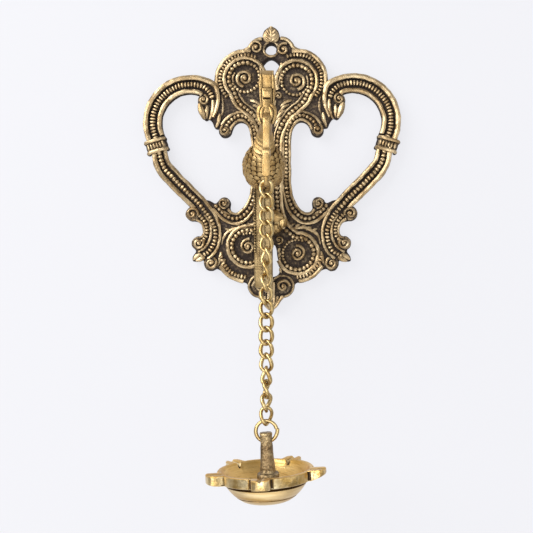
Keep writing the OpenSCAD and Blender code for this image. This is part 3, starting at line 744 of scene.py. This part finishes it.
slab(bird, [(47.2, -29.8), (45.6, -26), (47, -22.6), (52.6, -22), (55.2, -24.4), (54.4, -29.8)], -2.6, 2.6)
slab(bird, [(54, -34.4), (54, -31), (57, -31.2), (57.2, -34.2)], -1.85, 1.85, 0.6)
slab(bird, [(54, -41), (54, -34.6), (57, -34.8), (58.6, -41)], -1.5, 1.5, 0.35)
knob = bmesh.new()
peg(knob, 0, 60.9, -43.3, 2.3, 0.3, 2.6, 4)
round_off(knob, knob.edges[:], 0.2, steps=2)
copy_into(bird, knob)
print("neck, head and crest:", len(bird.faces), "faces")

# %% Tail and root
slab(bird, [(13, -62), (24, -63), (20, -72), (18.6, -80), (17.4, -92), (16, -104), (14, -113), (11, -113), (12, -104),
            (12.8, -92), (12.6, -80)], -7.5, 1.1, 1.0)
for x in (-6.9, 0.5):
    beads(bird, curve([(x, -22, -67), (x, -20, -72.6), (x, -18.6, -80), (x, -17.5, -91), (x, -17, -96)]), 0.62,
          1.3, tall=1.2)
ridge(bird, curve([(-3.2, -23, -66), (-3.2, -19, -80), (-3.2, -17.6, -92), (-3.2, -15, -111)]), swell(0.9),
      up=ACROSS)
for x in (-6, -5, -4):
    beads(bird, curve([(x, -22.6, -66), (x, -19.8, -72.6), (x, -18.4, -80), (x, -17.3, -92), (x, -15.9, -104)]),
          0.5, 1.1, tall=0.5)
boss = bmesh.new()
peg(boss, 0, 8.7, screw_z, 6.6, 4.8, 11.6, 32)
round_off(boss, [e for e in boss.edges if not e.is_manifold or e.calc_face_angle(0) > 0.7], 0.9)
copy_into(bird, boss)
lump = bmesh.new()
for x, z, size in ((2.6, -80.4, (3.6, 3, 2.6)), (5.6, -82.4, (2.6, 2.4, 1.8)), (2.4, -84.8, (2.6, 2.6, 2.4)),
                   (-4.4, -82, (2.8, 2.4, 4))):
    egg(lump, (x, -12.6, z), size, Matrix.Rotation(0.3 * x, 4, "Y"), 24, 16)
roughen(lump, size_mm=1.1, step_mm=2.6)
roughen(lump, size_mm=0.5, step_mm=1.1)
copy_into(bird, lump)
roughen(bird, size_mm=0.16, step_mm=2.2)
print("tail and root:", len(bird.faces), "faces")

# %% Stem and eye
slab(bird, [(58.5, -43), (58.3, -57.8), (61.6, -57.8), (61.5, -43)], -1.4, 1.4, 0.4)
slab(bird, [(56.2, -58.6), (56.2, -56.6), (57.4, -55.6), (62.6, -55.6), (63.8, -56.6), (63.8, -58.6)], -1.6, 1.6,
     0.35)
slab(bird, [(61.8, -57.6), (61.8, -66.9), (63.4, -66.9), (63.4, -57.6)], -1.55, 1.55, 0.3)
ridge(bird, curve([(-1.2, -63.5, -66.6), (-1.2, -63.5, -61.6), (-0.9, -63.5, -60.1), (0, -63.5, -59.5),
                   (0.9, -63.5, -60.1), (1.2, -63.5, -61.6), (1.2, -63.5, -66.6)], 0.3), 0.38)
reach, eye_z, eye_r, eye_wire_r, stem_z = 60, -67.42, 2.75, 0.93, -57.8
loop = [(0, -reach - eye_r, -58)] + [(0, -reach - eye_r * cos(a), eye_z - eye_r * sin(a))
                                     for a in (radians(15 * k) for k in range(13))] + [(0, eye_r - reach, -58)]
ridge(bird, spread([Vector(p) for p in loop], 0.4), eye_wire_r, sides=14, up=ACROSS)
for out in (reach - eye_r, reach + eye_r):
    slab(bird, [(out - 1.2, eye_z + 0.3), (out - 1.2, stem_z), (out + 1.2, stem_z), (out + 1.2, eye_z + 0.3)], -1.2,
         1.2, 0.35)
for face in bird.faces:
    at = face.calc_center_median() / MM
    face.material_index = 1 if at.z < -66 and -24 < at.y and at.x < 1.3 else 0
finish_piece(bird, "bird_casting", satin_brass, "bracket", "bird_arm", slot="arm_brass", more=(dull_brass,))

# %% [markdown]
# ## Chain and ring
# A curb chain's link is an oval of wire that is twisted so that its two ends lie across each other. Every link
# here has the same oval, turned about the vertical by its place in the chain, because a hanging chain winds.
# The wire is thinner where it bears on the next link, as a used chain is, and the ring is thinner where it bears.
# Each link is its own piece on its own body, so the chain can swing. The jump ring is left a little open.

# %% Links
def power(v, e):
    """A power that keeps its sign, for the fuller curve of a squeezed oval."""
    return copysign(abs(v) ** e, v)


links, pitch, top_link_z = 18, 5.38, -71.75
wind_step, calm_link, links_a_turn = 20, 2.5, 9
link_half_w, link_half_h, twist, squeeze = 2.35, 3.44, 40, 2 / 2.3


def wire_line(i, stations=40):
    """The centre line of link i, closed."""
    wind = -wind_step * (i - calm_link) + wind_step * sin(radians(360 / links_a_turn * (i - calm_link)))
    middle = Vector((0, -reach, top_link_z - (i - 1) * pitch))
    points = []
    for k in range(stations + 1):
        t = tau * k / stations
        x, h = link_half_w * power(cos(t), squeeze), power(sin(t), squeeze)
        turn = radians(wind - twist * h)
        points.append(middle + Vector((x * cos(turn), x * sin(turn), link_half_h * h)))
    return points, Vector((-sin(radians(wind)), cos(radians(wind)), 0))


bearing_r = 0.7
for i in range(1, links + 1):
    link = bmesh.new()
    line, flat = wire_line(i)
    fuller = 0.18 if 1 < i < links else 0.04  # the end links keep clear of the eye and the ring
    ridge(link, line, lambda s: bearing_r + fuller * abs(cos(tau * s)) ** 3, sides=12, up=flat, closed=True)
    finish_piece(link, "chain_link_%02d" % i, wire_brass, "link_%02d" % i, "link_%02d" % i, slot="chain_brass")

# %% Jump ring
ring_r, ring_z, ring_wire_r, worn = 4.25, -169.39, 0.82, 0.14
ring = bmesh.new()
hoop = []
for k in range(73):
    a, r = radians(16 + 358 * k / 72), ring_r + 0.35 * max(0, (k - 60) / 12) ** 2
    hoop.append(Vector((r * cos(a), -reach, ring_z + r * sin(a))))
bearings = (0.207, 0.709)
ridge(ring, hoop, lambda s: ring_wire_r - worn * sum(exp(-((s - at) / 0.17) ** 4) for at in bearings), sides=14)
finish_piece(ring, "jump_ring", wire_brass, "ring", "lamp_ring", slot="chain_brass")

# %% [markdown]
# ## Bowl
# The bowl was cast with a thick rim and five spouts. Its round parts were turned, so it has a groove under the rim
# and fine rings below, and the rim was filed by hand. Its section is round but its rim isn't. So it is one long
# skin that starts at the post's hole, goes up the hollow, over the rim and down to the foot: each row of points
# is pulled out of the row before it.

# %% Rows of points
def loop_edges(bm, row):
    """The edges of a closed row of points."""
    return [bm.edges.get(pair) for pair in zip(row, row[1:] + row[:1])]


def pull(bm, row, points):
    """Extrudes a closed row and lays the new row on other points, one for one."""
    made = bmesh.ops.extrude_edge_only(bm, edges=loop_edges(bm, row))["geom"]
    order = {v: k for k, v in enumerate(row)}
    new = [None] * len(row)
    for v in verts_of(made):
        k = next(order[e.other_vert(v)] for e in v.link_edges if e.other_vert(v) in order)
        v.co = points[k] * MM
        new[k] = v
    return new


def stack(bm, rows):
    """A skin through all the rows, from the first to the last."""
    draw(bm, rows[0])
    result = [bm.verts[:]]
    for points in rows[1:]:
        result.append(pull(bm, result[-1], points))
    return result


# %% Outline of the rim
spout_turns = (267, 344, 60, 131, 203)
spout_tips = (23.4, 25, 24.4, 24.4, 25)
rim_r, rim_z, rim_h = 19.6, -11.2, 4
rim_line = []
for turn, tip, following in zip(spout_turns, spout_tips, spout_turns[1:] + spout_turns[:1]):
    side = [(tip, 0), (tip - 0.02, 0.45), (tip - 0.05, 0.9), (tip - 0.15, 1.6), (tip - 0.4, 2.3), (tip - 0.9, 3),
            (tip - 1.6, 3.45), (21.4, 3.6), (20, 3.65), (18.75, 3.7), (18.65, 4.5), (18.95, 4.9)]
    for r, across in [(r, -w) for r, w in reversed(side[1:])] + side:
        rim_line.append((hypot(r, across), radians(turn) + atan2(across, r)))
    gap = (following - turn) % 360
    edge = degrees(atan2(side[-1][1], side[-1][0]))
    for k in range(1, 14):
        rim_line.append((rim_r, radians(turn + edge + (gap - 2 * edge) * k / 14)))
print("points round the rim:", len(rim_line))

# %% Bowl
# the lamp leans until its weight hangs under the ring: the post stands off the bowl's middle, the bowl has most
# of the weight, and the uneven spouts shift it a little more
post_off_x, post_off_y = 1, 0.8
bowl_share, spout_pull, weight_drop = 0.862, 0.082, 16.61
lean = atan((post_off_x * bowl_share + spout_pull) / weight_drop)
tip_up = atan(post_off_y * bowl_share / weight_drop)
post_hole_z = -173.196
swing = (Matrix.Translation((0, -reach, post_hole_z)) @ Matrix.Rotation(-lean, 4, "Y")
         @ Matrix.Rotation(-tip_up, 4, "X"))
hang = swing @ Matrix.Translation((-post_off_x, post_off_y, 0))
hollow_r, lip_r, floor_z, foot_z, pin_r = 21.5, 18.45, -20.0, -23.7, 2.2
wick_grooves = ((0.8, 1.2), (0.5, 1.8), (1.5, 1.5), (1.5, 1.5), (0.5, 1.8))
tip_rises = (0.02, 0.2, 0.1, 0.1, 0.04)


def from_spout(r, a):
    """The spout that a place belongs to, and how far the place lies across from its middle line."""
    turn, k = min(((degrees(a) - t + 180) % 360 - 180, k) for k, t in enumerate(spout_turns)
                  if abs((degrees(a) - t + 180) % 360 - 180) < 40)
    return k, r * sin(radians(turn))


def row_at(radius, z, inset=None, dip=0.0):
    """A closed row: round, or the rim's outline drawn in by an inset, lowered in the wick grooves."""
    points = []
    for r, a in rim_line:
        k, across = from_spout(r, a)
        here, up = radius, 0
        if inset is not None:
            here = r - inset + 0.3 * noise.noise((2.2 * cos(a) + z / 9, 2.2 * sin(a), 5.5))
            here = max(here, lip_r) if z > rim_z - 0.4 else here
            up = (0.05 + (tip_rises[k] if z < rim_z - 3 else 0)) * max(0, here - rim_r) ** 1.3
        deep, half = wick_grooves[k]
        up -= dip * deep * max(0.0, 1 - abs(across) / half)
        points.append(hang @ Vector((here * cos(a), here * sin(a), z + up)))
    return points


def belly(z):
    """The underside's radius at a height: a ball that is cut flat where the bowl stands."""
    foot_r, ball_z = 9.3, -6.8
    return sqrt(foot_r ** 2 + (foot_z - ball_z) ** 2 - (z - ball_z) ** 2)


def skin(at):
    """Which brass a place has: 0 turned, 1 oiled, with painted shade in the hollow, 2 painted shade, 3 filed."""
    r = at.xy.length
    k, across = from_spout(r, atan2(at.y, at.x))
    # painted shade: the concave corners beside the spouts' necks and the shaded side of the two back spouts' wick
    # grooves get near-black brass
    corner = -15 < at.z < rim_z - 0.3 and 3.62 < abs(across) < 4.7 and r < 19.7
    groove = at.z > rim_z - 3 and 16.4 < r < 22.5 and (k == 2 and -0.9 < across < 0 or k == 3 and 0 < across < 0.9)
    inside = r < 18.05 and at.z > -sqrt(hollow_r ** 2 - r * r)
    if inside and not groove:
        return 1
    if corner or groove:
        return 2
    return 1 if at.z > rim_z - 0.15 else 3 if at.z > -15.3 else 0


rows = [row_at(r, floor_z) for r in (pin_r, 5, 8.2)]
rows += [row_at(r, 0.4 - sqrt(hollow_r ** 2 - r * r)) for r in (9.0, 11, 13, 15, 16.6)]
rows += [row_at(r, rim_z + z, dip=dip) for r, z, dip in ((17.6, -0.75, 0.6), (18.0, -0.1, 1.0), (18.25, 0.05, 1.0))]
over_the_rim = ((0.05, 0.3, 1.0), (-0.2, 0.02, 1.0), (-0.5, 0, 0.9), (-3.4, 0, 0.1), (-3.75, 0.08, 0.0),
                (-rim_h, 0.4, 0.0))
rows += [row_at(0, rim_z + z, inset=inset, dip=dip) for z, inset, dip in over_the_rim]
rows += [row_at(r, z) for r, z in ((17.4, -15.25), (16, -15.4), (15.6, -15.8), (15.7, -16.3), (16.2, -16.6))]
rows += [row_at(belly(z), z) for z in (-16.9, -17.4, -18, -18.8, -19.6, -20.4, -21.1)]
rows += [row_at(r, z) for r, z in ((belly(-21.2) - 0.25, -21.25), (belly(-21.5) - 0.2, -21.5), (belly(-21.6), -21.65),
                                   (belly(-22.4), -22.4), (belly(-23.1), -23.1), (9.4, foot_z + 0.2), (8.8, foot_z),
                                   (6.6, foot_z), (6.3, foot_z + 1.1), (pin_r, foot_z + 1.2))]
bowl = bmesh.new()
stack(bowl, rows + rows[:1])
bmesh.ops.remove_doubles(bowl, verts=bowl.verts, dist=1e-7)
bmesh.ops.recalc_face_normals(bowl, faces=bowl.faces)
for face in bowl.faces:
    face.material_index = skin(hang.inverted() @ (face.calc_center_median() / MM))
finish_piece(bowl, "oil_bowl", turned_brass, "lamp", "lamp_bowl", slot="bowl_brass", sharp=32,
             more=(oiled_and_shaded_brass, painted_shade_brass, filed_brass))

# %% [markdown]
# ## Post
# The post is a rough casting that was never filed. Its section is a square with very round corners, and its foot
# spreads on the bowl's floor. A pin goes through the floor and is hammered over below. The hole for the ring is
# made by taking a patch of faces out of two sides, rounding the edges of the patches and bridging them.

# %% Post
round_post = 24


def post_row(half, z, bumps=0.16):
    """A closed row of the post, a rounded square with the unevenness of a sand casting."""
    points = []
    for k in range(round_post):
        c, s = cos(tau * k / round_post), sin(tau * k / round_post)
        r = half / (abs(c) ** 3 + abs(s) ** 3) ** (1 / 3)
        p = Vector((r * c, r * s, z))
        points.append(swing @ (p + bumps * noise.noise_vector(p / 1.7)))
    return points


rows = [post_row(r, z) for r, z in ((1.4, 3.4), (2.2, 3.35), (2.5, 3.1), (2.6, 2.7), (2.45, 2.0))]
rows += [post_row(2.45, z, 0.0) for z in (1.4, 0.7, 0, -0.7, -1.4)]
rows += [post_row(2.5 + 0.67 * (k / 12) ** 1.6, -2 - 0.86 * k) for k in range(13)]
rows += [post_row(r, z) for r, z in ((3.5, -12.7), (4.1, -12.9), (4.35, -13.2), (4.4, -14.2), (4.4, -16), (4.4, -18),
                                     (4.4, -19.95))]
rows += [post_row(r, z, 0.0) for r, z in ((1.7, -19.97), (1.7, -22.5), (2.7, -22.55), (2.6, -23), (2.2, -23.4),
                                          (1.2, -23.5))]
post = bmesh.new()
made = stack(post, rows)
for end in (made[0], made[-1]):
    bmesh.ops.contextual_create(post, geom=loop_edges(post, end))
cross_hole_r = 1.62
rims = []
for middle in (0, round_post // 2):
    patch = [[row[(middle + k) % round_post] for k in range(-2, 3)] for row in made[5:10]]
    inner = [v for row in patch[1:-1] for v in row[1:-1]]
    rim = patch[0] + [row[-1] for row in patch[1:]] + patch[-1][-2::-1] + [row[0] for row in patch[-2:0:-1]]
    bmesh.ops.delete(post, geom=inner, context="VERTS")
    for v in rim:
        p = swing.inverted() @ (v.co / MM)
        round_hole = Vector((p.y, p.z)).normalized() * cross_hole_r
        v.co = swing @ Vector((p.x, round_hole.x, round_hole.y)) * MM
    rims += loop_edges(post, rim)
bmesh.ops.bridge_loops(post, edges=rims)
bmesh.ops.recalc_face_normals(post, faces=post.faces)
finish_piece(post, "post_casting", rough_brass, "lamp", "lamp_post", slot="post_brass", sharp=50)

# %% [markdown]
# ## Screw
# The screw that holds the bird is a plain part, so it keeps its CAD shape. Only its steel is set.

# %% Screw
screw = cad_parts["arm_screw"].data
screw.materials.clear()
screw.materials.append(steel)
print("arm_screw:", steel.name)
